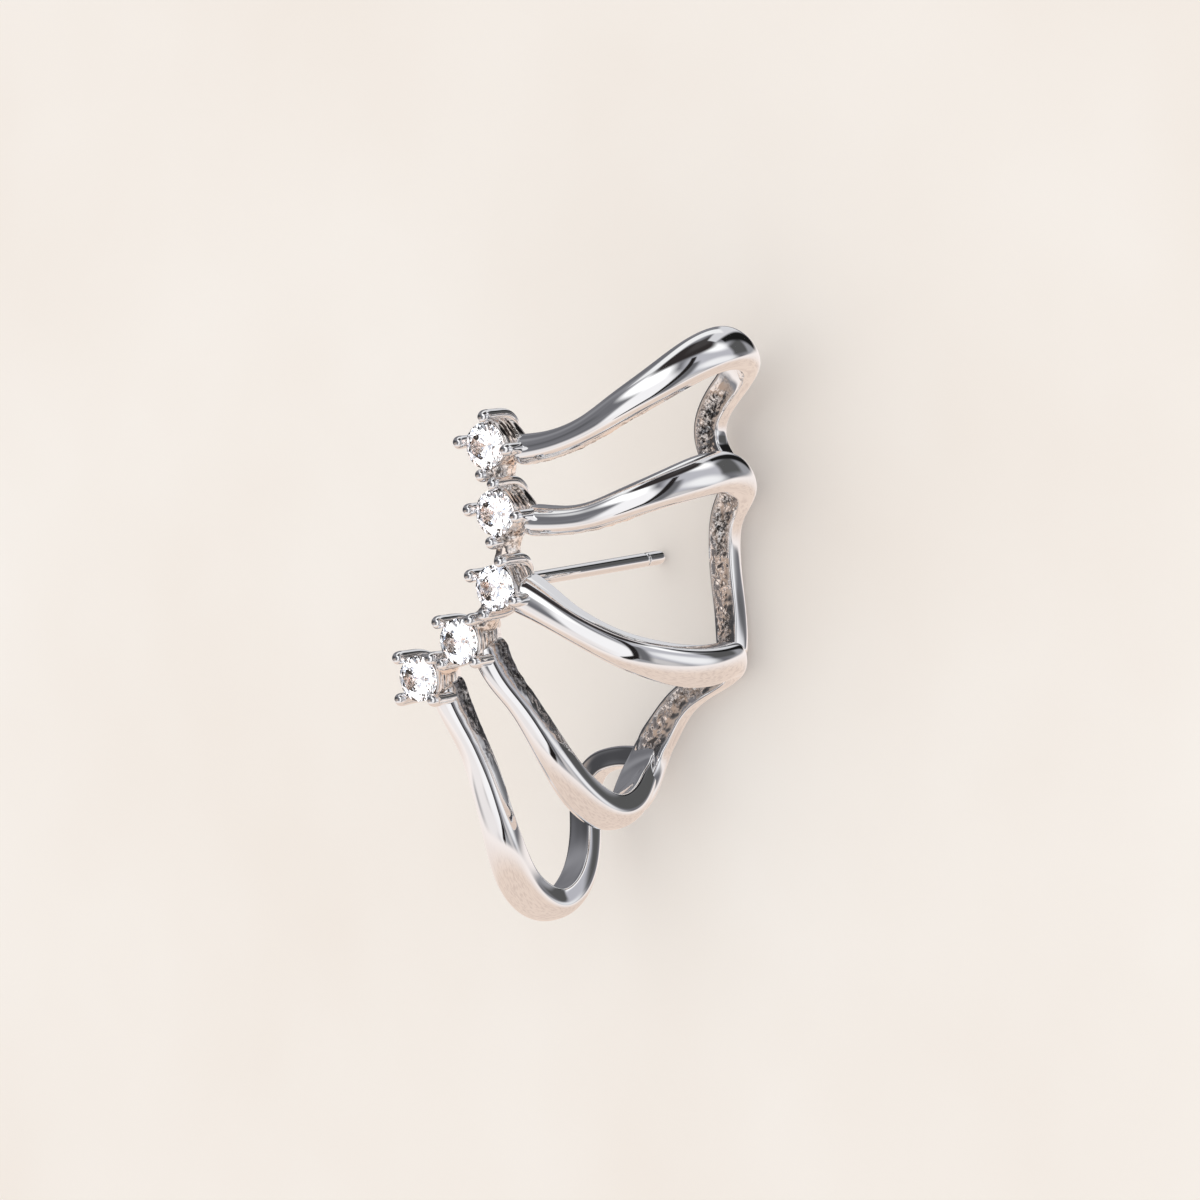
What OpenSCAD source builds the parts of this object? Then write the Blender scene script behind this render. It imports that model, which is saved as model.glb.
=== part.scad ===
// Ear wrap of polished cast metal: five claw-set round stones in a row, five bands that hook
// round the rim of the ear, and a scalloped spine behind it. A straight post leaves the
// middle setting.
//
// Drawn as worn: X runs sideways to the rim of the ear, Y backwards along the post, Z up the
// ear. The last step lays it down on its back, as it rests on a table.

/* [Stones] */
// Diameter of each round stone
stone_d = 2.25; // [2.2:0.05:2.3]
// Height of the stone from its girdle up to its table
crown_h = 0.34; // [0.3:0.02:0.4]
// Depth of the stone from its girdle down to its point
pavilion_h = 0.95; // [0.85:0.05:1]
// Clear space between the stone and the metal that holds it
stone_gap = 0.03; // [0.02:0.01:0.05]

/* [Settings] */
// Depth of a setting from its back to the tips of its claws
setting_depth = 3.1; // [3:0.05:3.2]
// Diameter of the round bead at the tip of a claw
bead_d = 0.58; // [0.54:0.02:0.6]
// Diameter of the claw's wire behind the bead
claw_d = 0.5; // [0.46:0.02:0.52]
// Distance of the beads from the middle of their setting
bead_reach = 1.4; // [1.38:0.01:1.42]

/* [Bands] */
// Part of a band's thickness that is a straight side wall, below its rounded face
wall_share = 0.55; // [0.45:0.05:0.65]
// Height of the casting up the ear, from the bend of the lowest band to the top band
casting_h = 28.8; // [28.6:0.1:29]

/* [Post] */
// Diameter of the ear post
post_d = 0.7; // [0.65:0.05:0.8]
// Length of the post behind its setting
post_len = 11; // [10:0.5:12]
// Distance from the tip to the groove that stops the nut
groove_from_tip = 1.3; // [1.2:0.1:1.5]

/* [Hidden] */

// Settings from the top down. Columns: sideways, up, turn of the claws in degrees.
SETTINGS = [
    [0.26, 6.85, 80],
    [0.45, 3.6, 81],
    [0, 0, 63],
    [-2.5, -2.5, 46],
    [-5.2, -4.2, 42]
];

// Bands, each from its setting round the rim of the ear and on along the spine behind it.
// Columns: sideways, backwards, up, width, thickness. A band's lean is the angle of its hook
// from level, in degrees.
BAND_1_LEAN = 32;
BAND_1 = [
    [1.2, -0.9, 6.5, 1.2, 1.3],
    [3, -0.9, 6.65, 1.25, 1.3],
    [4.9, -0.8, 7.2, 1.3, 1.2],
    [6.6, -0.3, 8.1, 1.5, 1.2],
    [8.2, 0.7, 9.1, 1.75, 1.2],
    [9.5, 2.3, 10.1, 2.05, 1.2],
    [10, 4.2, 10.5, 2.15, 1.2],
    [9.6, 6, 10.25, 2, 1.2],
    [8.6, 7.7, 9.7, 1.75, 1.2],
    [7.4, 8.7, 8.9, 1.55, 1.2],
    [6.2, 9.1, 8, 1.5, 1.2],
    [5.4, 9.2, 7.1, 1.45, 1.2],
    [5.1, 9.2, 6.2, 1.45, 1.2],
    [5.3, 9.1, 5.3, 1.45, 1.2],
    [5.9, 8.9, 4.4, 1.5, 1.2],
    [6.5, 8.7, 3.4, 1.5, 1.1]
];
BAND_2_LEAN = 12;
BAND_2 = [
    [1.4, -0.9, 3.05, 1.25, 1.3],
    [3, -0.9, 2.95, 1.3, 1.3],
    [4.6, -0.7, 3.05, 1.35, 1.2],
    [6.2, 0, 3.5, 1.5, 1.2],
    [7.6, 1.2, 4, 1.7, 1.2],
    [8.55, 2.8, 4.4, 1.95, 1.2],
    [8.8, 4.6, 4.5, 2, 1.2],
    [8.4, 6.5, 4.15, 1.9, 1.2],
    [7.5, 8, 3.6, 1.75, 1.2],
    [6.4, 8.9, 2.9, 1.65, 1.2],
    [5.7, 9.1, 2, 1.5, 1.2],
    [5.35, 9.2, 0.9, 1.4, 1.2],
    [5.25, 9.2, -0.3, 1.4, 1.2],
    [5.25, 9.2, -1.5, 1.4, 1.2],
    [5.35, 9.1, -2.7, 1.4, 1.2],
    [5.45, 8.9, -3.9, 1.4, 1.2],
    [5.5, 8.7, -4.8, 1.3, 1.1]
];
BAND_3_LEAN = -28;
BAND_3 = [
    [0.46, -0.9, -0.73, 1.3, 1.3],
    [1.7, -0.9, -1.4, 1.35, 1.2],
    [2.9, -0.7, -2.2, 1.4, 1.2],
    [4.3, 0.1, -3.2, 1.55, 1.2],
    [5.4, 1.2, -4, 1.75, 1.2],
    [6.25, 2.9, -4.65, 1.95, 1.2],
    [6.65, 4.9, -4.95, 2, 1.2],
    [6.5, 6.7, -4.9, 1.85, 1.2],
    [6, 8, -4.9, 1.7, 1.2],
    [5.2, 8.8, -5.2, 1.6, 1.2],
    [4.2, 9.1, -5.7, 1.5, 1.2],
    [2.9, 9.2, -6.3, 1.4, 1.2],
    [1.65, 9.2, -7.1, 1.45, 1.2],
    [0.6, 9.2, -8.1, 1.5, 1.2],
    [-0.05, 9.1, -9, 1.6, 1.2],
    [-0.3, 8.75, -10, 1.5, 1]
];
BAND_4_LEAN = -75;
BAND_4 = [
    [-2.2, -0.9, -3, 1.2, 1.4],
    [-1.5, -0.9, -4.4, 1.2, 1.35],
    [-0.85, -0.6, -5.7, 1.25, 1.3],
    [-0.35, 0, -7.2, 1.4, 1.2],
    [-0.05, 0.9, -8.9, 1.65, 1.2],
    [0.1, 2.3, -10.7, 1.9, 1.2],
    [0.3, 4.2, -12, 2, 1.2],
    [0.4, 6.1, -11.9, 2, 1.2],
    [0.15, 7.7, -11, 1.95, 1.2],
    [-0.25, 8.7, -10, 1.75, 1.2],
    [0.05, 9.1, -9, 1.5, 1.1],
    [0.6, 9.2, -8.1, 1.3, 1]
];
BAND_5_LEAN = -92;
BAND_5 = [
    [-5.3, -0.9, -4.9, 1.2, 1.4],
    [-4.65, -0.8, -6.2, 1.25, 1.3],
    [-4.2, -0.4, -7.7, 1.35, 1.2],
    [-4.1, 0.2, -9.4, 1.5, 1.2],
    [-4.15, 0.9, -11.2, 1.7, 1.2],
    [-4.25, 1.8, -13.3, 1.9, 1.2],
    [-4.4, 3.1, -15.4, 2.1, 1.2],
    [-4.2, 4.8, -16.75, 2.1, 1.2],
    [-4, 6.5, -16.25, 1.9, 1.2],
    [-4.1, 7.8, -14.7, 1.6, 1.2],
    [-4.4, 8.6, -13, 1.4, 1.2],
    [-4.6, 9, -11.8, 1.3, 1.2],
    [-4.35, 9.2, -10.7, 1.2, 1.2],
    [-3.7, 9.2, -10, 1.1, 1.2],
    [-2.9, 9.2, -9.7, 1.05, 1.2],
    [-1.9, 9.2, -9.6, 1.05, 1.2],
    [-0.9, 9.1, -9.7, 1.1, 1.2],
    [-0.2, 9, -9.9, 1.1, 1.1]
];

// Steps between two rows of a table, and points round the half of a band's rounded face
ROW_STEPS = 3;
DOME_POINTS = 3;

// Depth of the bands in front of the ear and of the spine behind it
FRONT_Y = -0.9;
BACK_Y = 9.2;

// Height of the casting as the tables draw it
drawn_h = 28.81;

// Heights inside a setting, measured from its back: the stone's girdle, the shoulder where the
// taper of the back ends, the foot of a claw and the bottom of the well under the stone
bead_rise = 0.4;
girdle_z = setting_depth - bead_rise;
girdle_t = 0.06;
shoulder_z = 0.85;
foot_z = 0.2;
well_z = 0.95;

// Widths inside a setting: its walls, its back, the well, and a claw's reach at the back
seat_w = 2.05;
back_w = 1.1;
well_d = 0.4;
back_reach = 0.8;

// Diameter of the round ends of a claw's bent wire
bend_d = claw_d + 0.03;

// Seat: a rim a little narrower than the stone, at the height where the stone clears it
seat_lip = 0.1;
seat_bore = stone_d - 2 * seat_lip;
seat_z = girdle_z - girdle_t / 2 - (seat_lip + stone_gap) * pavilion_h / (stone_d / 2);

// Solder between two settings, an oval bar: its width, its stretch along the depth, its middle's
// height in front of the back, and the share of the way between the settings where it starts
// and ends
solder_d = 0.8;
solder_stretch = 2;
solder_z = 1.6;
solder_from = 0.28;

// Overlap that keeps a cut from ending level with a face
cut_over = 0.01;

// Sides of the bars and beads, of a seat and of the post
ROUND_SIDES = 10;
SEAT_SIDES = 24;
POST_SIDES = 48;

// Proportions of the cut stone, as shares of its radius, and its main facets
table_share = 0.57;
star_share = 0.78;
break_share = 0.24;
MAINS = 8;
half_main = 180 / MAINS;

// Post: its root inside the middle setting, its rise from the setting's middle, its groove
// and its rounded tip
post_root = 0.6;
post_rise = 0.12;
groove_w = 0.25;
groove_depth = 0.06;
tip_r = 0.25;
TIP_STEPS = 4;
GROOVE_STEPS = 4;

// Lay of the resting wrap: tipped to its side and back onto three points, then moved so that
// its middle stands over the origin
lay_side = 11.5;
lay_back = 4.4;
lay_shift = [-1.42, 2.54, 10.77];

// Smooth curves through the rows of a table
function between(a, b, c, d, t) =
    0.5 * (2 * b + (c - a) * t + (2 * a - 5 * b + 4 * c - d) * t * t
    + (3 * b - a - 3 * c + d) * t * t * t);
function row_or_end(rows, i) =
    i < 0 ? 2 * rows[0] - rows[1]
    : i >= len(rows) ? 2 * rows[len(rows) - 1] - rows[len(rows) - 2]
    : rows[i];
function smooth_rows(rows) = [
    for (i = [0:len(rows) - 2])
        for (s = [0:ROW_STEPS - 1])
            between(
                row_or_end(rows, i - 1), rows[i], rows[i + 1], row_or_end(rows, i + 2),
                s / ROW_STEPS
            ),
    rows[len(rows) - 1]
];

// Place, width and thickness of a smoothed row
function place(row) = [row[0], row[1], row[2]];
function unit(v) = v / norm(v);
function heading(rows, i) =
    unit(place(rows[min(i + 1, len(rows) - 1)]) - place(rows[max(i - 1, 0)]));

// Outward side of a band: forwards in front of the ear, sideways round its rim, and
// backwards behind it
function turned(y) = 90 * (2 * min(max((y - FRONT_Y) / (BACK_Y - FRONT_Y), 0), 1) - 1);
function outward(lean, y, head) =
    let (
        side = [cos(lean), 0, sin(lean)],
        way = side * cos(turned(y)) + [0, sin(turned(y)), 0]
    )
    unit(way - head * (way * head));

// Half-round section: flat inner face, straight walls, rounded outer face
function dome_angles() = [for (i = [0:2 * DOME_POINTS]) 180 - i * 90 / DOME_POINTS];
function section(width, thick) =
    let (dome = thick * (1 - wall_share), spring = thick * (wall_share - 0.5))
    concat(
        [[-width / 2, -thick / 2]],
        [for (a = dome_angles()) [width / 2 * cos(a), spring + dome * sin(a)]],
        [[width / 2, -thick / 2]]
    );
function ring(row, head, out) =
    let (across = cross(head, out))
    [for (p = section(row[3], row[4])) place(row) + across * p[0] + out * p[1]];

// Solid swept through rings of equal count
module swept(rings) {
    n = len(rings[0]);
    last = len(rings) - 1;
    points = [for (r = rings) each r];
    sides = [
        for (i = [0:last - 1])
            for (j = [0:n - 1])
                let (k = (j + 1) % n)
                each [
                    [i * n + j, (i + 1) * n + j, (i + 1) * n + k],
                    [i * n + j, (i + 1) * n + k, i * n + k]
                ]
    ];
    start = [[for (j = [0:n - 1]) j]];
    end = [[for (j = [n - 1:-1:0]) last * n + j]];
    polyhedron(points = points, faces = concat(sides, start, end), convexity = 6);
}

module band(table, lean) {
    rows = smooth_rows(table);
    swept([
        for (i = [0:len(rows) - 1])
            let (head = heading(rows, i))
            ring(rows[i], head, outward(lean, rows[i][1], head))
    ]);
}

// Frame of a setting: Z points out of the front, X and Y follow its claws
module at_setting(i, stretch = 1) {
    translate([SETTINGS[i][0], 0, SETTINGS[i][1] * stretch])
        rotate([90, 0, 0])
            rotate([0, 0, SETTINGS[i][2]])
                children();
}

// Round bar from one point to another
module bar(from, to, d_from, d_to) {
    way = to - from;
    translate(from)
        rotate([0, acos(way[2] / norm(way)), atan2(way[1], way[0])])
            cylinder(d1 = d_from, d2 = d_to, h = norm(way), $fn = ROUND_SIDES);
}

module claw() {
    root = [back_reach, 0, foot_z];
    shoulder = [bead_reach, 0, shoulder_z];
    bead = [bead_reach, 0, setting_depth - bead_d / 2];
    bar(root, shoulder, claw_d, claw_d);
    bar(shoulder, bead, claw_d, claw_d);
    for (end = [root, shoulder]) translate(end) sphere(d = bend_d, $fn = ROUND_SIDES);
    translate(bead) sphere(d = bead_d, $fn = ROUND_SIDES);
}

// Square block with its corners at the claws, tapered from its shoulder to its back
module square_block() {
    back_corner = back_w / sqrt(2);
    seat_corner = seat_w / sqrt(2);
    rotate_extrude($fn = 4)
        polygon([
            [0, 0], [back_corner, 0], [seat_corner, shoulder_z], [seat_corner, seat_z], [0, seat_z]
        ]);
}

module setting() {
    for (a = [0:90:270]) rotate([0, 0, a]) claw();
    difference() {
        square_block();
        translate([0, 0, well_z])
            cylinder(d1 = well_d, d2 = seat_bore, h = seat_z - well_z + cut_over, $fn = SEAT_SIDES);
    }
}

// Solder between two neighbouring settings, behind the claws that meet there
module solder_joint(i) {
    a = [SETTINGS[i][0], 0, SETTINGS[i][1]];
    b = [SETTINGS[i + 1][0], 0, SETTINGS[i + 1][1]];
    start = a + (b - a) * solder_from;
    end = b + (a - b) * solder_from;
    translate([0, -solder_z, 0])
        scale([1, solder_stretch, 1])
            bar(start, end, solder_d, solder_d);
}

// All cast and soldered work but the post, brought to its height up the ear
module casting() {
    resize([0, 0, casting_h])
        union() {
            for (i = [0:len(SETTINGS) - 1]) at_setting(i) setting();
            for (i = [0:len(SETTINGS) - 2]) solder_joint(i);
            band(BAND_1, BAND_1_LEAN);
            band(BAND_2, BAND_2_LEAN);
            band(BAND_3, BAND_3_LEAN);
            band(BAND_4, BAND_4_LEAN);
            band(BAND_5, BAND_5_LEAN);
        }
}

// Post turned as one profile: root in the middle setting, round groove for the nut, round tip
module post() {
    r = post_d / 2;
    groove_at = post_len - groove_from_tip;
    tip_arc = [for (i = [0:TIP_STEPS]) [
        r - tip_r + tip_r * cos(i * 90 / TIP_STEPS),
        post_len - tip_r + tip_r * sin(i * 90 / TIP_STEPS)
    ]];
    groove = [for (i = [0:GROOVE_STEPS]) [
        r - groove_depth * sin(i * 180 / GROOVE_STEPS),
        groove_at - groove_w * (1 - i / GROOVE_STEPS)
    ]];
    profile = concat(
        [[0, -post_root], [r, -post_root]],
        groove,
        tip_arc,
        [[0, post_len]]
    );
    translate([0, 0, post_rise])
        rotate([-90, 0, 0])
            rotate_extrude($fn = POST_SIDES) polygon(profile);
}

// Brilliant cut: rings of points from the table down to the point
function stone_ring(count, r, z, turn) =
    [for (k = [0:count - 1]) [r * cos(turn + k * 360 / count), r * sin(turn + k * 360 / count), z]];

module brilliant() {
    r = stone_d / 2;
    r_table = r * table_share;
    r_star = r * star_share;
    r_break = r * break_share;
    half_t = girdle_t / 2;
    z_star = crown_h - (r_star * cos(half_main) - r_table) * (crown_h - half_t) / (r - r_table);
    z_break = -pavilion_h + r_break * cos(half_main) * (pavilion_h - half_t) / r;
    points = concat(
        stone_ring(MAINS, r_table, crown_h, 0),
        stone_ring(MAINS, r_star, z_star, half_main),
        stone_ring(2 * MAINS, r, half_t, 0),
        stone_ring(2 * MAINS, r, -half_t, 0),
        stone_ring(MAINS, r_break, z_break, half_main),
        [[0, 0, -pavilion_h]]
    );
    table = [[for (k = [MAINS - 1:-1:0]) k]];
    around = [
        for (k = [0:MAINS - 1])
            let (
                next = (k + 1) % MAINS,
                last = (k + MAINS - 1) % MAINS,
                star = MAINS + k, last_star = MAINS + last,
                top = 2 * MAINS + 2 * k, top_mid = top + 1, top_next = 2 * MAINS + 2 * next,
                low = 4 * MAINS + 2 * k, low_mid = low + 1, low_next = 4 * MAINS + 2 * next,
                deep = 6 * MAINS + k, last_deep = 6 * MAINS + last, tip = 7 * MAINS
            )
            each [
                [k, next, star],
                [last_star, k, star, top],
                [star, top_mid, top],
                [star, top_next, top_mid],
                [top, top_mid, low_mid, low],
                [top_mid, top_next, low_next, low_mid],
                [deep, low, low_mid],
                [deep, low_mid, low_next],
                [tip, last_deep, low, deep]
            ]
    ];
    polyhedron(points = points, faces = concat(table, around), convexity = 2);
}

module stone(i) {
    at_rest()
        at_setting(i - 1, casting_h / drawn_h)
            translate([0, 0, girdle_z])
                color("white") brilliant();
}

// Lays the wrap down from the way it is worn to the way it rests, on the table at Z = 0
module at_rest() {
    translate(lay_shift)
        rotate([lay_back, 0, 0])
            rotate([0, lay_side, 0])
                rotate([-90, 0, 0])
                    children();
}

module wrap_frame() {
    at_rest() {
        color("silver") {
            casting();
            post();
        }
    }
}
module stone_1() { stone(1); }
module stone_2() { stone(2); }
module stone_3() { stone(3); }
module stone_4() { stone(4); }
module stone_5() { stone(5); }

wrap_frame();
stone_1();
stone_2();
stone_3();
stone_4();
stone_5();
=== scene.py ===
import math

import bpy
from mathutils import Matrix, Vector


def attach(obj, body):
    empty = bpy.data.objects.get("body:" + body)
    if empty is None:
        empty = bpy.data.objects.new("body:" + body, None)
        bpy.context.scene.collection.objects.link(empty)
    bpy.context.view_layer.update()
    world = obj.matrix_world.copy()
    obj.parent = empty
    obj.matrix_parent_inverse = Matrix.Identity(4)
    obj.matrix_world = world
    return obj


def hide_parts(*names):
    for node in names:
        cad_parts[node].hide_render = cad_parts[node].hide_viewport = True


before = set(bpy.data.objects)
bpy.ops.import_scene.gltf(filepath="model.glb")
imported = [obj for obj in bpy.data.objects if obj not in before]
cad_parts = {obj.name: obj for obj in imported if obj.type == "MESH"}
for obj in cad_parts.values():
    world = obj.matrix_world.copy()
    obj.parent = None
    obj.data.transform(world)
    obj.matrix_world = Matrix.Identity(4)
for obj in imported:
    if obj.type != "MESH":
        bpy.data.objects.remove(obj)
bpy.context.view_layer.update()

# Ear wrap of polished cast silver. It is drawn in millimetres as it is worn: X runs sideways to
# the rim of the ear, Y backwards along the post, Z up the ear. lay_down brings each finished
# piece to metres and to the way the wrap rests on its back.

# Lay of the resting wrap, as in the part's source: two tips, then the shift in millimetres
LAY_SIDE = math.radians(11.5)
LAY_BACK = math.radians(4.4)
LAY_SHIFT = Vector((-1.42, 2.54, 10.77))
MM = 0.001

# Settings from the top down: sideways, up, turn of the claws in degrees
SETTINGS = [
    (0.26, 6.85, 80),
    (0.45, 3.6, 81),
    (0, 0, 63),
    (-2.5, -2.5, 46),
    (-5.2, -4.2, 42),
]

# Bands: the lean of the hook in degrees, then rows of sideways, backwards, up, width, thickness
BANDS = {
    "band_1": (32, [
        (0.9, -1.35, 6.45, 1.55, 1.6),
        (2.9, -1.1, 6.62, 1.35, 1.4),
        (4.9, -0.8, 7.2, 1.3, 1.2),
        (6.6, -0.3, 8.1, 1.5, 1.2),
        (8.2, 0.7, 9.1, 1.75, 1.2),
        (9.5, 2.3, 10.1, 2.05, 1.2),
        (10, 4.2, 10.5, 2.15, 1.2),
        (9.6, 6, 10.25, 2, 1.2),
        (8.6, 7.7, 9.7, 1.75, 1.2),
        (7.4, 8.7, 8.9, 1.55, 1.2),
        (6.2, 9.1, 8, 1.5, 1.2),
        (5.4, 9.2, 7.1, 1.45, 1.2),
        (5.1, 9.2, 6.2, 1.45, 1.2),
        (5.3, 9.1, 5.3, 1.45, 1.2),
        (5.9, 8.9, 4.4, 1.5, 1.2),
        (6.5, 8.7, 3.4, 1.5, 1.1),
    ]),
    "band_2": (12, [
        (1.1, -1.35, 3.1, 1.55, 1.6),
        (2.9, -1.1, 2.95, 1.4, 1.4),
        (4.6, -0.7, 3.05, 1.35, 1.2),
        (6.2, 0, 3.5, 1.5, 1.2),
        (7.6, 1.2, 4, 1.7, 1.2),
        (8.55, 2.8, 4.4, 1.95, 1.2),
        (8.8, 4.6, 4.5, 2, 1.2),
        (8.4, 6.5, 4.15, 1.9, 1.2),
        (7.5, 8, 3.6, 1.75, 1.2),
        (6.4, 8.9, 2.9, 1.65, 1.2),
        (5.7, 9.1, 2, 1.5, 1.2),
        (5.35, 9.2, 0.9, 1.4, 1.2),
        (5.25, 9.2, -0.3, 1.4, 1.2),
        (5.25, 9.2, -1.5, 1.4, 1.2),
        (5.35, 9.1, -2.7, 1.4, 1.2),
        (5.45, 8.9, -3.9, 1.4, 1.2),
        (5.5, 8.7, -4.8, 1.3, 1.1),
    ]),
    "band_3": (-28, [
        (0.3, -1.5, -0.2, 2.0, 1.9),
        (1.55, -1.2, -1.05, 1.75, 1.6),
        (2.85, -0.8, -2.05, 1.5, 1.3),
        (4.3, 0.1, -3.2, 1.55, 1.2),
        (5.4, 1.2, -4, 1.75, 1.2),
        (6.25, 2.9, -4.65, 1.95, 1.2),
        (6.65, 4.9, -4.95, 2, 1.2),
        (6.5, 6.7, -4.9, 1.85, 1.2),
        (6, 8, -4.9, 1.7, 1.2),
        (5.2, 8.8, -5.2, 1.6, 1.2),
        (4.2, 9.1, -5.7, 1.5, 1.2),
        (2.9, 9.2, -6.3, 1.4, 1.2),
        (1.65, 9.2, -7.1, 1.45, 1.2),
        (0.67, 9.2, -8.13, 1.63, 1.2),
        (0.03, 9.1, -9.02, 1.75, 1.2),
        (-0.17, 8.85, -9.9, 1.55, 1.15),
        (-0.14, 8.3, -10.7, 1.35, 1.15),
        (0, 7.6, -11.3, 1.15, 1.1),
        (0.15, 6.8, -11.75, 0.9, 1),
    ]),
    "band_4": (-67, [
        (-2.05, -1.35, -2.6, 1.5, 1.7),
        (-1.5, -1.1, -4.3, 1.35, 1.5),
        (-0.85, -0.6, -5.7, 1.25, 1.3),
        (-0.35, 0, -7.2, 1.4, 1.2),
        (-0.05, 0.9, -8.9, 1.65, 1.2),
        (0.08, 2.3, -10.6, 1.9, 1.3),
        (0.2, 4.2, -11.82, 2, 1.4),
        (0.12, 6.1, -11.74, 2, 1.4),
        (-0.4, 7.7, -10.95, 2.15, 1.3),
        (-0.5, 8.7, -9.95, 1.65, 1.2),
        (-0.2, 9.1, -9, 1.35, 1.1),
        (0.5, 9.25, -8.1, 1.1, 0.9),
        (1.4, 9.3, -7.2, 0.8, 0.7),
    ]),
    "band_5": (-96, [
        (-4.8, -1.35, -4.4, 1.5, 1.7),
        (-4.52, -0.95, -6.05, 1.4, 1.45),
        (-4.2, -0.4, -7.7, 1.35, 1.2),
        (-4.1, 0.2, -9.4, 1.5, 1.2),
        (-4.03, 0.65, -11.2, 1.65, 1.2),
        (-4.15, 1.4, -13.15, 1.85, 1.25),
        (-4.45, 2.8, -15.15, 2.05, 1.3),
        (-4.45, 4.8, -16.4, 2.1, 1.35),
        (-4.2, 6.5, -16, 1.9, 1.3),
        (-4.2, 7.8, -14.65, 1.6, 1.2),
        (-4.4, 8.6, -13, 1.4, 1.2),
        (-4.6, 9, -11.8, 1.3, 1.2),
        (-4.35, 9.2, -10.7, 1.2, 1.2),
        (-3.7, 9.2, -10, 1.1, 1.2),
        (-2.9, 9.2, -9.7, 1.05, 1.2),
        (-1.9, 9.2, -9.6, 1.05, 1.2),
        (-0.9, 9.1, -9.7, 1.1, 1.2),
        (-0.2, 9, -9.9, 1.1, 1.1),
    ]),
}

# Depth of the bands in front of the ear and of the spine behind it
FRONT_Y = -0.9
BACK_Y = 9.2

# Arch at the end of the lowest band, whose flat side looks a little up: the rows between which
# it turns that way, and how much
ARCH_BAND = "band_5"
ARCH_FIRST = 11
ARCH_FULL = 12
ARCH_NOD = 0.25

# Bands whose lean changes on the way: first row and last row of the change, degrees. The tail of
# the third leans into the fourth hook, and the lowest hook turns its rounded face outwards
TWISTS = {"band_3": (14, 14.4, -82), "band_5": (4, 6.5, 25)}
NO_TWIST = (0, 1, 0)

# Levels of smoothing
BAND_LEVELS = 3
SMALL_LEVELS = 2

# Grain of the casting: size and height in millimetres, on the bands and on the small parts, and
# how many finer sizes are mixed in
COARSE_SIZE = 0.46
COARSE_HEIGHT = 0.2
FINE_SIZE = 0.16
FINE_HEIGHT = 0.09
GRAIN_OCTAVES = 2

RIGHT_ANGLE = math.radians(90)


def share_between(value, first, last):
    """How far a value has come on the way from first to last, from 0 to 1."""
    return min(max((value - first) / (last - first), 0), 1)


# Selecting and finishing

def deselect_all():
    for piece in bpy.context.selected_objects:
        piece.select_set(False)


def select_only(piece):
    deselect_all()
    piece.select_set(True)
    bpy.context.view_layer.objects.active = piece


def edit(piece):
    select_only(piece)
    bpy.ops.object.mode_set(mode="EDIT")


def leave_edit():
    bpy.ops.object.mode_set(mode="OBJECT")


def finish_with(piece, kind, **settings):
    """Add one modifier and apply it."""
    select_only(piece)
    modifier = piece.modifiers.new(kind.lower(), kind)
    for name, value in settings.items():
        setattr(modifier, name, value)
    bpy.ops.object.modifier_apply(modifier=modifier.name)


def smooth(piece, levels):
    finish_with(piece, "SUBSURF", levels=levels, render_levels=levels)
    bpy.ops.object.shade_smooth()


def cast_grain(name, size):
    grain = bpy.data.textures.new(name, "CLOUDS")
    grain.noise_scale = size
    grain.noise_depth = GRAIN_OCTAVES
    return grain


def mark_cast(piece, weights):
    """Mark the points of a piece that keep the rough skin of the casting."""
    group = piece.vertex_groups.new(name="cast")
    for index, weight in enumerate(weights):
        if weight > 0:
            group.add([index], weight, "REPLACE")


def roughen(piece, grain, height):
    """Raise the grain of the casting where it is marked, and keep the marks for the finish."""
    finish_with(
        piece, "DISPLACE", texture=grain, strength=height, mid_level=0.5,
        vertex_group="cast", texture_coords="LOCAL",
    )
    weights = [
        max((group.weight for group in vertex.groups), default=0) for vertex in piece.data.vertices
    ]
    piece.vertex_groups.clear()
    marks = piece.data.attributes.new("cast", "FLOAT", "POINT")
    marks.data.foreach_set("value", weights)


def join(name, pieces):
    deselect_all()
    for piece in pieces:
        piece.select_set(True)
    bpy.context.view_layer.objects.active = pieces[0]
    bpy.ops.object.join()
    whole = pieces[0]
    whole.name = name
    whole.data.name = name
    return whole


def lay_down(piece):
    """Bring a piece from the way it is worn, in millimetres, to the way it rests, in metres."""
    select_only(piece)
    laid = (
        Matrix.Rotation(LAY_BACK, 4, "X")
        @ Matrix.Rotation(LAY_SIDE, 4, "Y")
        @ Matrix.Rotation(-RIGHT_ANGLE, 4, "X")
    )
    piece.matrix_world = (
        Matrix.Scale(MM, 4) @ Matrix.Translation(LAY_SHIFT) @ laid @ piece.matrix_world
    )
    bpy.ops.object.transform_apply(location=True, rotation=True, scale=True)


# Bars that follow a curve

FIT_ROUNDS = 24


def corners_through(rows):
    """Corner rows whose smooth curve passes through the rows of a table."""
    corners = [list(row) for row in rows]
    for _ in range(FIT_ROUNDS):
        for i in range(1, len(rows) - 1):
            for k in range(len(rows[i])):
                limit = (corners[i - 1][k] + 4 * corners[i][k] + corners[i + 1][k]) / 6
                corners[i][k] += rows[i][k] - limit
    return corners


def add_disc(name, corners):
    """Flat disc one unit wide round the origin, the start of every bar."""
    deselect_all()
    bpy.ops.mesh.primitive_circle_add(vertices=corners, radius=0.5, fill_type="NGON")
    disc = bpy.context.object
    disc.name = name
    disc.data.name = name
    return disc


def section_axes(across, out, heading):
    """Turn that brings a section from XY to where a bar runs along its heading."""
    return Matrix((across, out, heading)).transposed()


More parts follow.
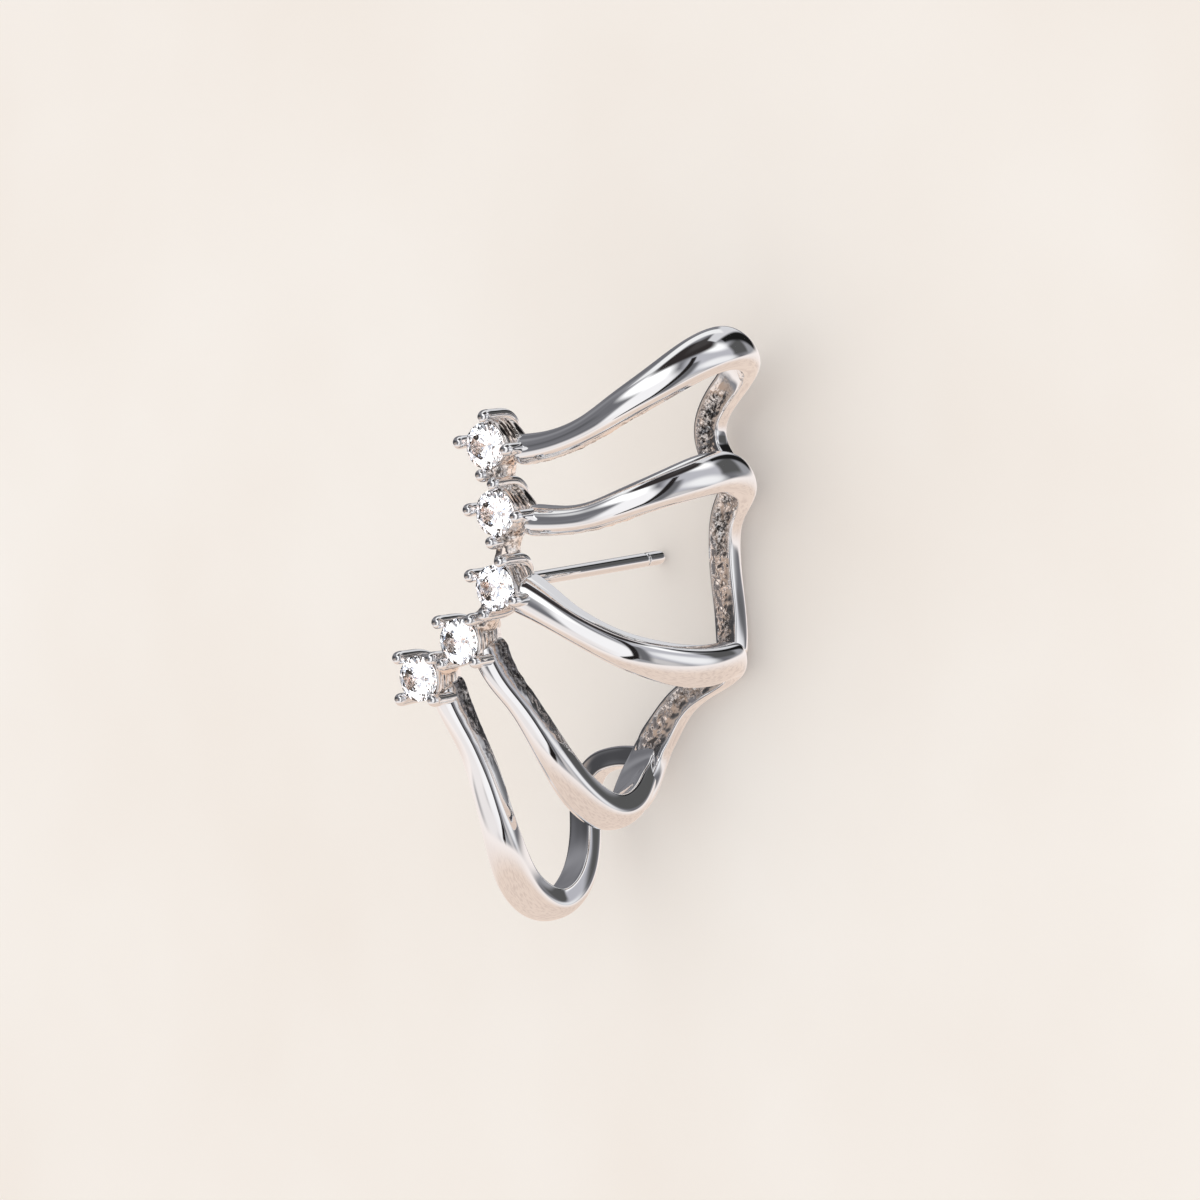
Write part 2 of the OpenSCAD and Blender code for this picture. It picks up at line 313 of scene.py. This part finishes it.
def turn(matrix, centre, back=False):
    """Turn what is selected about a centre. With no window the operator turns the other way."""
    angles = matrix.to_euler("XYZ")
    steps = [("X", -angles.x), ("Y", -angles.y), ("Z", -angles.z)]
    if back:
        steps = [(axis, -angle) for axis, angle in reversed(steps)]
    for axis, angle in steps:
        bpy.ops.transform.rotate(
            value=angle, orient_axis=axis, orient_type="GLOBAL", center_override=centre
        )


def sweep(section, rings):
    """Extrude a section that lies round the origin in XY through rings of centre, axes, size."""
    edit(section)
    bpy.ops.mesh.select_all(action="SELECT")
    centre, axes, size = rings[0]
    origin = Vector((0, 0, 0))
    bpy.ops.transform.resize(value=(size[0], size[1], 1), center_override=origin)
    turn(axes, origin)
    bpy.ops.transform.translate(value=centre)
    for i in range(1, len(rings)):
        last_centre, last_axes, last_size = rings[i - 1]
        centre, axes, size = rings[i]
        bpy.ops.mesh.extrude_region_move(
            TRANSFORM_OT_translate={"value": centre - last_centre}
        )
        turn(last_axes, centre, back=True)
        bpy.ops.transform.resize(
            value=(size[0] / last_size[0], size[1] / last_size[1], 1),
            center_override=centre,
        )
        turn(axes, centre)
    bpy.ops.mesh.select_all(action="SELECT")
    bpy.ops.mesh.normals_make_consistent(inside=False)
    leave_edit()
    return section


# Sections

# Corners of a band's section, one unit wide and thick, from the middle of the rounded face round
# by the left wall to the flat inner face and up the right wall
SECTION = [
    (0, 0.535),
    (-0.23, 0.49),
    (-0.42, 0.33),
    (-0.505, 0.12),
    (-0.51, -0.12),
    (-0.505, -0.34),
    (-0.49, -0.49),
    (-0.41, -0.52),
    (-0.31, -0.51),
    (-0.16, -0.5),
    (0, -0.5),
    (0.16, -0.5),
    (0.31, -0.51),
    (0.41, -0.52),
    (0.49, -0.49),
    (0.505, -0.34),
    (0.51, -0.12),
    (0.505, 0.12),
    (0.42, 0.33),
    (0.23, 0.49),
]
LEFT_WALL = {4: 0.5, 5: 1, 6: 0.5}
RIGHT_WALL = {14: 0.5, 15: 0.9, 16: 0.8, 17: 0.35}
RIGHT_WALL_LOW = {14: 0.25, 15: 0.5, 16: 0.45, 17: 0.2}
INNER_FACE = {8: 0.5, 9: 1, 10: 1, 11: 1, 12: 0.5}
INNER_FACE_LOW = {8: 0.2, 9: 0.45, 10: 0.75, 11: 0.8, 12: 0.4}
CHANNEL = (9, 10, 11)
CHANNEL_DEPTH = 0.06

# Rough cast metal left unpolished: part of the section, first row, last row of the band
CAST_PARTS = {
    "band_1": [(INNER_FACE, 10, 15), (LEFT_WALL, 0, 3)],
    "band_2": [(INNER_FACE, 9, 12), (INNER_FACE_LOW, 12, 16), (LEFT_WALL, 0, 3)],
    "band_3": [(INNER_FACE_LOW, 9, 14), (LEFT_WALL, 0, 2)],
    "band_4": [(RIGHT_WALL, 0, 1.5), (RIGHT_WALL_LOW, 0, 3)],
    "band_5": [(RIGHT_WALL, 0, 1), (RIGHT_WALL_LOW, 0, 2)],
}


def band_section(name):
    """Half-round section one unit wide and thick: flat inner face down, rounded face up."""
    section = add_disc(name, len(SECTION))
    for vertex, (across, out) in zip(section.data.vertices, SECTION):
        vertex.co = (across, out, 0)
    return section


def turned(y):
    """Angle of the hook round the rim, from the front of the ear to the spine behind it."""
    return RIGHT_ANGLE * (2 * share_between(y, FRONT_Y, BACK_Y) - 1)


def lean_at(name, lean_degrees, row):
    """Lean of a band at a row, with its twist."""
    first, last, change = TWISTS.get(name, NO_TWIST)
    return math.radians(lean_degrees + change * share_between(row, first, last))


def nod_at(name, row):
    """How far the flat side looks up at a row, which only the arch does."""
    return ARCH_NOD * share_between(row, ARCH_FIRST, ARCH_FULL) if name == ARCH_BAND else 0


def band_axes(heading, lean, y, nod):
    """Axes of a band's section: across it, out of its rounded face, and along it."""
    side = Vector((math.cos(lean), 0, math.sin(lean)))
    way = side * math.cos(turned(y)) + Vector((0, math.sin(turned(y)), -nod))
    out = (way - heading * way.dot(heading)).normalized()
    return section_axes(out.cross(heading), out, heading)


def halved(corners):
    """Twice as many corners for the same smooth curve."""
    finer = [corners[0]]
    for i in range(1, len(corners)):
        before, here = corners[i - 1], corners[i]
        finer.append([(a + b) / 2 for a, b in zip(before, here)])
        if i < len(corners) - 1:
            after = corners[i + 1]
            finer.append([(a + 6 * b + c) / 8 for a, b, c in zip(before, here, after)])
    finer.append(corners[-1])
    return finer


def cast_weights(name, ring_count):
    """How rough each point of a band is, ring by ring, with two rings to a row."""
    weights = [[0.0] * len(SECTION) for _ in range(ring_count)]
    for part, first, last in CAST_PARTS[name]:
        for ring in range(ring_count):
            row = ring / 2
            fade = min(row - first + 1, last - row + 1, 1)
            for point, weight in part.items():
                weights[ring][point] = max(weights[ring][point], weight * max(fade, 0))
    return weights


def sink_channel(band, rings, weights):
    """Press the middle of the inner face in where it is rough."""
    edit(band)
    for ring, (_, axes, _) in enumerate(rings):
        depth = CHANNEL_DEPTH * min(weights[ring][point] for point in CHANNEL)
        if depth <= 0:
            continue
        bpy.ops.mesh.select_all(action="DESELECT")
        leave_edit()
        for point in CHANNEL:
            band.data.vertices[ring * len(SECTION) + point].select = True
        bpy.ops.object.mode_set(mode="EDIT")
        bpy.ops.transform.translate(value=axes.col[1] * depth)
    leave_edit()


def build_band(name, lean_degrees, rows):
    corners = halved(corners_through(rows))
    rings = []
    for i, row in enumerate(corners):
        after = Vector(corners[min(i + 1, len(corners) - 1)][:3])
        before = Vector(corners[max(i - 1, 0)][:3])
        heading = (after - before).normalized()
        lean = lean_at(name, lean_degrees, i / 2)
        axes = band_axes(heading, lean, row[1], nod_at(name, i / 2))
        rings.append((Vector(row[:3]), axes, (row[3], row[4])))
    band = sweep(band_section(name), rings)
    weights = cast_weights(name, len(rings))
    mark_cast(band, [weight for ring in weights for weight in ring])
    sink_channel(band, rings, weights)
    smooth(band, BAND_LEVELS)
    roughen(band, coarse_grain, COARSE_HEIGHT)
    return band


# Settings

# Claw, one wire bent at the shoulder and upright from row CLAW_UPRIGHT on: reach, height,
# diameter
CLAWS = 4
CLAW_SIDES = 12
CLAW_UPRIGHT = 7
CLAW = [
    (0.5, 0.16, 0.4),
    (0.74, 0.3, 0.52),
    (1.0, 0.54, 0.6),
    (1.23, 0.84, 0.64),
    (1.39, 1.2, 0.64),
    (1.45, 1.7, 0.62),
    (1.45, 2.3, 0.62),
    (1.45, 2.62, 0.67),
    (1.44, 2.86, 0.69),
    (1.42, 3.04, 0.6),
    (1.4, 3.15, 0.4),
    (1.4, 3.19, 0.12),
]

# Basket: height and width of its square, up the outside, then down into the seat
BASKET = [
    (0, 1.0),
    (0.03, 1.2),
    (0.42, 1.62),
    (0.85, 2.06),
    (0.98, 2.16),
    (1.24, 2.2),
    (1.34, 2.14),
    (1.4, 2.0),
    (1.52, 2.0),
    (1.58, 2.12),
    (1.7, 2.18),
    (1.84, 2.18),
    (1.92, 2.1),
    (1.98, 1.98),
    (2.08, 1.98),
    (2.14, 2.1),
    (2.22, 2.18),
    (2.4, 2.18),
    (2.5, 2.12),
    (2.54, 2.04),
    (2.54, 1.94),
    (2.4, 1.8),
    (1.7, 0.9),
    (1.0, 0.2),
]
BASKET_CORNERS = 16
BASKET_SQUARENESS = 5

# How rough the basket is between its two rails, at what heights, and how rough elsewhere
BASKET_ROUGH = 0.7
BASKET_ROUGH_LOW = 1.3
BASKET_ROUGH_HIGH = 2.2
BASKET_ROUGH_ELSEWHERE = 0.25


def build_claw(name):
    claw = add_disc(name, CLAW_SIDES)
    across = Vector((0, 1, 0))
    rings = []
    for i, (reach, height, width) in enumerate(CLAW):
        after = CLAW[min(i + 1, len(CLAW) - 1)]
        before = CLAW[max(i - 1, 0)]
        heading = Vector((after[0] - before[0], 0, after[1] - before[1])).normalized()
        if i >= CLAW_UPRIGHT:
            heading = Vector((0, 0, 1))
        axes = section_axes(across, heading.cross(across), heading)
        rings.append((Vector((reach, 0, height)), axes, (width, width)))
    sweep(claw, rings)
    smooth(claw, SMALL_LEVELS)
    return claw


def square_up(disc):
    """Press a disc out to a square with rounded corners."""
    for vertex in disc.data.vertices:
        x, y, _ = vertex.co.normalized()
        spread = abs(x) ** BASKET_SQUARENESS + abs(y) ** BASKET_SQUARENESS
        vertex.co *= 1 / spread ** (1 / BASKET_SQUARENESS)


def build_basket(name):
    basket = add_disc(name, BASKET_CORNERS)
    square_up(basket)
    level = Matrix.Identity(3)
    sweep(basket, [(Vector((0, 0, z)), level, (width, width)) for z, width in BASKET])
    weights = []
    for vertex in basket.data.vertices:
        between = BASKET_ROUGH_LOW < vertex.co.z < BASKET_ROUGH_HIGH
        weights.append(BASKET_ROUGH if between else BASKET_ROUGH_ELSEWHERE)
    mark_cast(basket, weights)
    smooth(basket, SMALL_LEVELS)
    edit(basket)
    bpy.ops.mesh.select_all(action="SELECT")
    bpy.ops.transform.rotate(
        value=RIGHT_ANGLE / 2, orient_axis="Z", center_override=(0, 0, 0)
    )
    leave_edit()
    roughen(basket, fine_grain, FINE_HEIGHT)
    return basket


def copy_of(piece, name):
    deselect_all()
    twin = piece.copy()
    twin.data = piece.data.copy()
    twin.name = name
    bpy.context.scene.collection.objects.link(twin)
    return twin


def build_settings():
    claw = build_claw("claw")
    claws = [claw]
    for k in range(1, CLAWS):
        twin = copy_of(claw, "claw_%d" % k)
        twin.matrix_world = Matrix.Rotation(RIGHT_ANGLE * k, 4, "Z")
        claws.append(twin)
    basket = build_basket("basket")
    model = join("setting", [basket] + claws)
    settings = []
    for i, (x, z, degrees) in enumerate(SETTINGS):
        setting = copy_of(model, "setting_%d" % (i + 1))
        setting.matrix_world = (
            Matrix.Translation((x, 0, z))
            @ Matrix.Rotation(RIGHT_ANGLE, 4, "X")
            @ Matrix.Rotation(math.radians(degrees), 4, "Z")
        )
        settings.append(setting)
    bpy.data.objects.remove(model)
    return settings


# Solder between neighbouring settings: share of the way to the next setting, width
SOLDER = [
    (0.26, 1.3),
    (0.36, 1.25),
    (0.44, 1.05),
    (0.5, 1.0),
    (0.56, 1.05),
    (0.64, 1.25),
    (0.74, 1.3),
]
SOLDER_SIDES = 12
SOLDER_Y = -1.6
SOLDER_DEPTH = 1.5
SOLDER_ROUGH = 0.6


def build_solder(i):
    """Oval bar of solder between two neighbouring settings, deeper than it is wide."""
    bar = add_disc("solder_%d" % (i + 1), SOLDER_SIDES)
    start, end = [Vector((x, SOLDER_Y, z)) for x, z, _ in SETTINGS[i:i + 2]]
    heading = (end - start).normalized()
    out = Vector((0, -1, 0))
    axes = section_axes(out.cross(heading), out, heading)
    rings = []
    for share, width in SOLDER:
        rings.append((start.lerp(end, share), axes, (width, width * SOLDER_DEPTH)))
    sweep(bar, rings)
    mark_cast(bar, [SOLDER_ROUGH] * len(bar.data.vertices))
    smooth(bar, SMALL_LEVELS)
    roughen(bar, fine_grain, FINE_HEIGHT)
    return bar


# Post, from inside the middle setting to its rounded tip, with the groove: how far back, diameter
POST = [
    (-0.6, 0.7),
    (-0.3, 0.7),
    (4, 0.7),
    (9.3, 0.7),
    (9.42, 0.7),
    (9.47, 0.69),
    (9.51, 0.6),
    (9.575, 0.57),
    (9.64, 0.6),
    (9.68, 0.69),
    (9.73, 0.7),
    (10.4, 0.7),
    (10.7, 0.7),
    (10.87, 0.63),
    (10.97, 0.48),
    (11.01, 0.25),
]
POST_SIDES = 24
POST_RISE = 0.12


def build_post():
    post = add_disc("ear_post", POST_SIDES)
    heading = Vector((0, 1, 0))
    across = Vector((1, 0, 0))
    axes = section_axes(across, heading.cross(across), heading)
    sweep(post, [(Vector((0, y, POST_RISE)), axes, (width, width)) for y, width in POST])
    smooth(post, SMALL_LEVELS)
    return post


# Nodes

def feed(tree, socket, value):
    """Give a socket a number, a colour or what another node puts out."""
    if isinstance(value, bpy.types.NodeSocket):
        tree.links.new(value, socket)
    elif isinstance(value, tuple):
        socket.default_value = (*value, 1)
    else:
        socket.default_value = value


def noise(tree, where, scale, detail):
    node = tree.nodes.new("ShaderNodeTexNoise")
    node.inputs["Scale"].default_value = scale
    node.inputs["Detail"].default_value = detail
    tree.links.new(where, node.inputs["Vector"])
    return node.outputs["Fac"]


def ramp(tree, source, stops):
    """Colour or grey that follows a value through its stops."""
    node = tree.nodes.new("ShaderNodeValToRGB")
    elements = node.color_ramp.elements
    while len(elements) < len(stops):
        elements.new(0.5)
    for element, (position, value) in zip(elements, stops):
        element.position = position
        colour = value if isinstance(value, tuple) else (value, value, value)
        element.color = (*colour, 1)
    tree.links.new(source, node.inputs["Fac"])
    return node.outputs["Color"]


def calculate(tree, operation, *values):
    """One step of arithmetic on numbers or sockets."""
    node = tree.nodes.new("ShaderNodeMath")
    node.operation = operation
    for socket, value in zip(node.inputs, values):
        feed(tree, socket, value)
    return node.outputs["Value"]


def lay_over(tree, under, colour, share, label=""):
    """Cover one colour with another by a share."""
    node = tree.nodes.new("ShaderNodeMix")
    node.data_type = "RGBA"
    node.label = label
    feed(tree, node.inputs["Factor"], share)
    feed(tree, node.inputs["A"], under)
    feed(tree, node.inputs["B"], colour)
    return node.outputs["Result"]


def bump(tree, height, strength, distance):
    node = tree.nodes.new("ShaderNodeBump")
    feed(tree, node.inputs["Height"], height)
    feed(tree, node.inputs["Strength"], strength)
    node.inputs["Distance"].default_value = distance
    return node


# Finishes

# Noise scales over a piece's own coordinates in metres: the higher, the finer
CAST_PATCH_SCALE = 750
SILVER_TONE_SCALE = 300
PIT_SHADE_SCALE = 6500
WEAR_SCALE = 900
WAVE_SCALE = 500
GRAIN_SCALE = 5000
STONE_FIRE_SCALE = 2600
FLOOR_TONE_SCALE = 40

# Where a noise passes from one tone to the other: noise value, then tone or roughness
SILVER_TONES = [(0.3, (0.87, 0.87, 0.88)), (0.7, (0.93, 0.93, 0.935))]
SILVER_WEAR = [(0.35, 0.025), (0.75, 0.07)]
CAST_PATCHES = [(0.43, 0.0), (0.53, 1.0)]
FLOOR_TONES = [(0.3, (0.90, 0.84, 0.785)), (0.7, (0.94, 0.90, 0.86))]

# Cast skin, in a lit copy on most bands and a copy in painted shade on the two lowest: its tint,
# then painted shade in the pits and the crests. The beige of the lit tint is painted light from
# the ground
LIT_SKIN = ((0.95, 0.84, 0.76), [(0.43, (0.07, 0.065, 0.06)), (0.53, (0.92, 0.91, 0.9))])
PAINTED_SHADE_SKIN = ((0.27, 0.26, 0.27), [(0.43, (0.015, 0.014, 0.014)), (0.53, (0.62, 0.6, 0.59))])
# Bands whose cast walls are drawn in painted shade
PAINTED_SHADE_BANDS = ("band_4", "band_5")

# How much rougher the cast skin is, and how fast its tint sets in where the cast marks begin
CAST_ROUGHNESS = 0.12
TINT_SPREAD = 1.8

# Waves of the polish and grain of the cast skin, with depths in metres
WAVE_STRENGTH = 0.08
WAVE_DEPTH = 0.00002
GRAIN_DEPTH = 0.00006

# Stones, with painted flashes of blue and orange fire here and there, as where the light splits in
# them
STONE_INDEX = 2.15
WHITE = (1.0, 1.0, 1.0)
STONE_PAINTED_FIRE = [
    (0.0, (0.98, 0.99, 1.0)),
    (0.35, WHITE),
    (0.39, (0.5, 0.66, 1.0)),
    (0.42, WHITE),
    (0.6, WHITE),
    (0.625, (1.0, 0.5, 0.36)),
    (0.65, (1.0, 0.98, 0.95)),
]

FLOOR_ROUGHNESS = 0.8
FLOOR_WIDTH = 6


def new_material(name):
    """A material with its nodes, its shader and the piece's own coordinates."""
    material = bpy.data.materials.new(name)
    material.use_nodes = True
    tree = material.node_tree
    where = tree.nodes.new("ShaderNodeTexCoord").outputs["Object"]
    return material, tree, tree.nodes["Principled BSDF"], where


def polished_silver(name, skin):
    """Polished silver, with pitted cast skin where the piece is marked, drawn with painted light
    and shade: a tint, and painted shade in the pits.
    """
    skin_tint, skin_tones = skin
    material, tree, shader, where = new_material(name)
    shader.inputs["Metallic"].default_value = 1
    attribute = tree.nodes.new("ShaderNodeAttribute")
    attribute.attribute_name = "cast"
    marks = attribute.outputs["Fac"]
    patches = ramp(tree, noise(tree, where, CAST_PATCH_SCALE, detail=2), CAST_PATCHES)
    rough = calculate(tree, "MULTIPLY", marks, patches)

    tone = ramp(tree, noise(tree, where, SILVER_TONE_SCALE, detail=2), SILVER_TONES)
    # Tint of the cast skin: painted light from the ground on the lit copy, painted shade on the
    # dark copy
    spread = calculate(tree, "MINIMUM", calculate(tree, "MULTIPLY", marks, TINT_SPREAD), 1)
    tinted = lay_over(tree, tone, skin_tint, spread)
    # Dark speckles of painted shade in the pits of the cast skin, with pale crests between
    pit_shade = ramp(tree, noise(tree, where, PIT_SHADE_SCALE, detail=3), skin_tones)
    feed(tree, shader.inputs["Base Color"], lay_over(tree, tinted, pit_shade, rough))

    wear = ramp(tree, noise(tree, where, WEAR_SCALE, detail=4), SILVER_WEAR)
    dull = calculate(tree, "MULTIPLY_ADD", rough, CAST_ROUGHNESS, wear)
    feed(tree, shader.inputs["Roughness"], dull)

    waves = bump(tree, noise(tree, where, WAVE_SCALE, detail=2), WAVE_STRENGTH, WAVE_DEPTH)
    grain = bump(tree, noise(tree, where, GRAIN_SCALE, detail=3), rough, GRAIN_DEPTH)
    feed(tree, grain.inputs["Normal"], waves.outputs["Normal"])
    feed(tree, shader.inputs["Normal"], grain.outputs["Normal"])
    return material


def clear_stone():
    material, tree, shader, where = new_material("clear_stone")
    shader.inputs["Transmission Weight"].default_value = 1
    shader.inputs["IOR"].default_value = STONE_INDEX
    shader.inputs["Roughness"].default_value = 0
    # Painted flashes of coloured fire in the stone's colour
    painted_fire = ramp(tree, noise(tree, where, STONE_FIRE_SCALE, detail=1), STONE_PAINTED_FIRE)
    feed(tree, shader.inputs["Base Color"], painted_fire)
    return material


def floor_finish():
    material, tree, shader, where = new_material("pale_floor")
    tone = ramp(tree, noise(tree, where, FLOOR_TONE_SCALE, detail=3), FLOOR_TONES)
    feed(tree, shader.inputs["Base Color"], tone)
    shader.inputs["Roughness"].default_value = FLOOR_ROUGHNESS
    return material


# Camera, from the photo's side and rolled with it

CAMERA_PLACE = Vector((0.262004, 0.004336, 0.241222))
CAMERA_RIGHT = Vector((0.6655, -0.0393, -0.7454))
CAMERA_UP = Vector((0.0202, 0.9992, -0.0346))
CAMERA_LENS = 217.35
CAMERA_SENSOR = 36
CAMERA_NEAR = 0.01
CAMERA_FAR = 20

camera_data = bpy.data.cameras.new("camera")
camera_data.lens = CAMERA_LENS
camera_data.sensor_width = CAMERA_SENSOR
camera_data.clip_start = CAMERA_NEAR
camera_data.clip_end = CAMERA_FAR
camera = bpy.data.objects.new("camera", camera_data)
bpy.context.scene.collection.objects.link(camera)
right = CAMERA_RIGHT.normalized()
back = right.cross(CAMERA_UP).normalized()
up = back.cross(right)
camera.matrix_world = Matrix.Translation(CAMERA_PLACE) @ Matrix(
    (right, up, back)
).transposed().to_4x4()
bpy.context.scene.camera = camera

# Pieces

coarse_grain = cast_grain("coarse_grain", COARSE_SIZE)
fine_grain = cast_grain("fine_grain", FINE_SIZE)
silver = polished_silver("polished_silver", LIT_SKIN)
# Copy of the finish in painted shade, for the dark walls of the two lowest bands
painted_shade_silver = polished_silver("polished_silver_painted_shade_walls", PAINTED_SHADE_SKIN)

made = [build_band(name, lean, rows) for name, (lean, rows) in BANDS.items()]
made += build_settings()
made += [build_solder(i) for i in range(len(SETTINGS) - 1)]
made.append(build_post())

for piece in made:
    piece.data.materials.clear()
    piece.data.materials.append(painted_shade_silver if piece.name in PAINTED_SHADE_BANDS else silver)
    lay_down(piece)
    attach(piece, "root")
    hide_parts("wrap_frame")

stone_glass = clear_stone()
for i in range(len(SETTINGS)):
    for material_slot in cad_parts["stone_%d" % (i + 1)].material_slots:
        material_slot.material = stone_glass

# Floor

deselect_all()
bpy.ops.mesh.primitive_plane_add(size=FLOOR_WIDTH)
floor = bpy.context.object
floor.name = "floor"
floor.data.materials.append(floor_finish())

# Light: a grey room over a beige ground, with soft panels and cards hung round the wrap

ROOM_SHADE_SCALE = 1.8
ROOM_TONES = [(0.4, (0.17, 0.17, 0.185)), (0.75, (0.34, 0.34, 0.36))]

# Ground, speckled near the wrap. It lies below a level along its own axis, which is given as
# right of the camera, up and towards the camera
GROUND_SPECK_SCALE = 16
GROUND_NEAR = [(0.38, (0.74, 0.60, 0.52)), (0.52, (0.86, 0.71, 0.61))]
GROUND_FAR = (1.0, 0.93, 0.90)
GROUND_AXIS = (-0.171, 0.866, 0.470)
GROUND_LEVEL = -0.375
GROUND_EDGE = 0.10
GROUND_FADE = 0.35

# Even light on matt surfaces, and the stronger and slightly hazy room that shows in the stones
SOFT_WHITE = (1.0, 0.985, 0.965)
STONE_LIGHT = 2.4
STONE_HAZE = 0.2
STONE_HAZE_TINT = (0.9, 0.94, 1.0)

# A panel covers only directions within about a right angle of its middle
LEAST_FACING = 0.02

# Panels: degrees right of the camera and up, half width, half height, tilt, soft edge, round
# or square, colour
PANELS = [
    ("grey_wall_right", 58, 14, 38, 34, 0, 20, False, (0.52, 0.52, 0.56)),
    ("white_card_right", 70, 0, 30, 13, -8, 14, True, (0.95, 0.95, 0.96)),
    ("small_soft_box", 68, 44, 17, 10, -20, 12, True, (1.15, 1.15, 1.15)),
    ("white_card_front", -4, -16, 24, 40, -10, 14, True, (1.0, 0.99, 1.0)),
    ("pale_card_low", -62, -38, 38, 13, -18, 14, True, (0.9, 0.86, 0.85)),
    ("pale_card_low_right", 46, -27, 22, 9, 0, 10, True, (0.62, 0.6, 0.6)),
    ("beige_wall_left", -86, -11, 25, 11, 0, 9, False, (0.44, 0.375, 0.335)),
    ("soft_box", -22, 32, 25, 17, -28, 14, True, (1.35, 1.35, 1.35)),
    ("dark_left", -112, 8, 54, 13, 4, 14, True, (0.07, 0.07, 0.075)),
    ("dim_beside_gap", 31, -6, 7, 30, 0, 9, False, (0.15, 0.15, 0.16)),
    ("dark_gap", 23, 2, 4, 38, -5, 3, False, (0.02, 0.018, 0.018)),
    ("dark_gap_low", 10, -42, 4, 14, -40, 3, False, (0.015, 0.013, 0.013)),
    ("dark_ceiling", 16, 62, 32, 18, 6, 8, True, (0.035, 0.03, 0.03)),
    ("dark_ceiling_right", 62, 68, 24, 9, 0, 8, True, (0.06, 0.055, 0.055)),
    ("dim_corner", 112, 24, 18, 15, 0, 11, False, (0.1, 0.1, 0.1)),
    ("black_bar", 141, 32, 38, 7, -43, 6, False, (0.012, 0.012, 0.012)),
    ("strip_light", 143, 50, 38, 8, -42, 5, False, (0.72, 0.72, 0.74)),
    ("white_ceiling", -135, 80, 38, 12, 0, 8, False, (0.95, 0.95, 0.95)),
]


def along(tree, direction, axis):
    """How far the direction of the light lies along an axis."""
    node = tree.nodes.new("ShaderNodeVectorMath")
    node.operation = "DOT_PRODUCT"
    node.inputs[1].default_value = axis
    tree.links.new(direction, node.inputs[0])
    return node.outputs["Value"]


def soft_step(tree, value, outside, inside):
    """Share from 0 outside to 1 inside, with soft ends."""
    node = tree.nodes.new("ShaderNodeMapRange")
    node.interpolation_type = "SMOOTHSTEP"
    node.inputs["From Min"].default_value = outside
    node.inputs["From Max"].default_value = inside
    tree.links.new(value, node.inputs["Value"])
    return node.outputs["Result"]


def seen_from_camera(sideways, upwards):
    """Direction in the scene for degrees to the right of the camera and up."""
    a, e = math.radians(sideways), math.radians(upwards)
    return (
        right * (math.sin(a) * math.cos(e)) + up * math.sin(e) + back * (math.cos(a) * math.cos(e))
    )


def hang_panel(tree, direction, under, panel):
    """Lay one soft panel over the room."""
    name, sideways, upwards, half_width, half_height, tilt, edge, is_round, colour = panel
    middle = seen_from_camera(sideways, upwards)
    flat = up.cross(middle).normalized()
    tall = middle.cross(flat)
    angle = math.radians(tilt)
    across = flat * math.cos(angle) + tall * math.sin(angle)
    upright = tall * math.cos(angle) - flat * math.sin(angle)
    facing = along(tree, direction, middle)
    distance = calculate(tree, "MAXIMUM", facing, LEAST_FACING)
    reach = [math.tan(math.radians(half)) for half in (half_width, half_height)]
    soft = math.tan(math.radians(edge))
    offsets = []
    for axis, half in zip((across, upright), reach):
        offset = calculate(tree, "DIVIDE", along(tree, direction, axis / half), distance)
        offsets.append(calculate(tree, "ABSOLUTE", offset))
    if is_round:
        squares = [calculate(tree, "MULTIPLY", offset, offset) for offset in offsets]
        radius = calculate(tree, "SQRT", calculate(tree, "ADD", *squares))
        part = soft / min(reach) / 2
        share = soft_step(tree, radius, 1 + part, 1 - part)
    else:
        parts = [
            soft_step(tree, offset, 1 + soft / half / 2, 1 - soft / half / 2)
            for offset, half in zip(offsets, reach)
        ]
        share = calculate(tree, "MULTIPLY", *parts)
    in_front = calculate(tree, "GREATER_THAN", facing, LEAST_FACING)
    share = calculate(tree, "MULTIPLY", share, in_front)
    return lay_over(tree, under, colour, share, name)


def paint_ground(tree, direction, under):
    """Lay the ground under the room, speckled near the wrap and paler far off."""
    ground_axis = right * GROUND_AXIS[0] + up * GROUND_AXIS[1] + back * GROUND_AXIS[2]
    height = along(tree, direction, ground_axis)
    near = ramp(tree, noise(tree, direction, GROUND_SPECK_SCALE, detail=3), GROUND_NEAR)
    far_share = soft_step(tree, height, GROUND_LEVEL - GROUND_FADE, GROUND_LEVEL)
    ground = lay_over(tree, near, GROUND_FAR, far_share)
    ground_share = soft_step(
        tree, height, GROUND_LEVEL + GROUND_EDGE / 2, GROUND_LEVEL - GROUND_EDGE / 2
    )
    return lay_over(tree, under, ground, ground_share)


def glow(tree, colour, strength):
    """Light of one kind of ray."""
    node = tree.nodes.new("ShaderNodeBackground")
    feed(tree, node.inputs["Color"], colour)
    node.inputs["Strength"].default_value = strength
    return node.outputs["Background"]


world = bpy.data.worlds.new("studio")
world.use_nodes = True
world.cycles.sampling_method = "NONE"
bpy.context.scene.world = world
room = world.node_tree
room.nodes.clear()
direction = room.nodes.new("ShaderNodeTexCoord").outputs["Generated"]
view = ramp(room, noise(room, direction, ROOM_SHADE_SCALE, detail=0), ROOM_TONES)
for panel in PANELS:
    view = hang_panel(room, direction, view, panel)
view = paint_ground(room, direction, view)

# Mirrors and stones see the room. Matt surfaces get an even soft light, like the floor here

ray = room.nodes.new("ShaderNodeLightPath")
light = glow(room, view, 1)
stone_light = glow(room, lay_over(room, view, STONE_HAZE_TINT, STONE_HAZE), STONE_LIGHT)
even_light = glow(room, SOFT_WHITE, 1)
for kind, other in (("Is Transmission Ray", stone_light), ("Is Diffuse Ray", even_light)):
    choose = room.nodes.new("ShaderNodeMixShader")
    room.links.new(ray.outputs[kind], choose.inputs[0])
    room.links.new(light, choose.inputs[1])
    room.links.new(other, choose.inputs[2])
    light = choose.outputs[0]
output = room.nodes.new("ShaderNodeOutputWorld")
room.links.new(light, output.inputs["Surface"])

# The floor isn't mirrored in the metal, which shows the ground of the room there
floor.visible_glossy = False

bpy.context.scene.view_settings.view_transform = "Standard"
